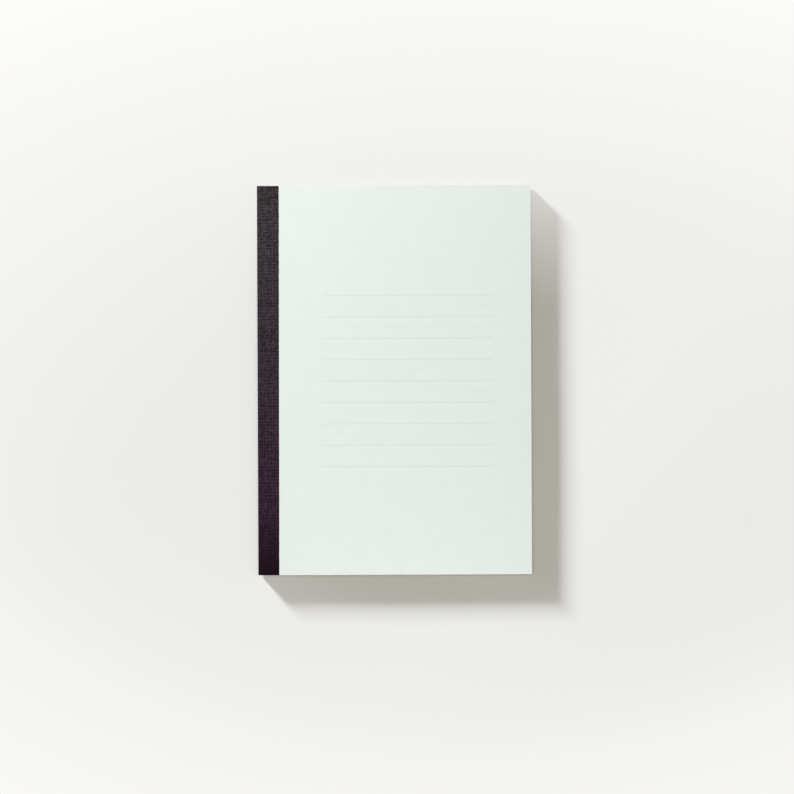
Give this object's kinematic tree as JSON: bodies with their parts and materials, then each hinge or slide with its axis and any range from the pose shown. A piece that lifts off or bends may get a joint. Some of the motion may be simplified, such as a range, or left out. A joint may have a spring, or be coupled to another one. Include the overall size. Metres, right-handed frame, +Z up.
{
  "type": "lined notebook",
  "caption": "Slim soft-cover notebook with square corners, a dark cloth tape over its spine, ruled pages and a pale ruled panel on its front cover.",
  "frame": {"origin": "middle of the footprint, on the surface that the closed notebook lies on", "axes": "+X from the spine to the fore-edge, +Y from the tail to the head, +Z up from the back cover to the front cover"},
  "size_m": [0.128, 0.182, 0.0049],
  "materials": {
    "page_paper": "matte",
    "ruling_ink": "matte",
    "cover_card": "matte",
    "tape_cloth": "matte",
    "spine_glue": "satin"
  },
  "bodies": {
    "book_block": {"page_block": "page_paper", "page_ruling": "ruling_ink", "spine_glue": "spine_glue", "spine_tape": "tape_cloth"},
    "front_cover": {"front_cover": "cover_card", "cover_ruling": "ruling_ink", "front_tape": "tape_cloth"},
    "back_cover": {"back_cover": "cover_card", "back_tape": "tape_cloth"}
  },
  "joints": [
    {"name": "front_cover_hinge", "type": "hinge", "parent": "book_block", "child": "front_cover", "pos_m": [-0.06355, 0, 0.0049], "axis": [0, -1, 0], "range_deg": [0, 180]},
    {"name": "back_cover_hinge", "type": "hinge", "parent": "book_block", "child": "back_cover", "pos_m": [-0.06355, 0, 0], "axis": [0, 1, 0], "range_deg": [0, 180]}
  ]
}
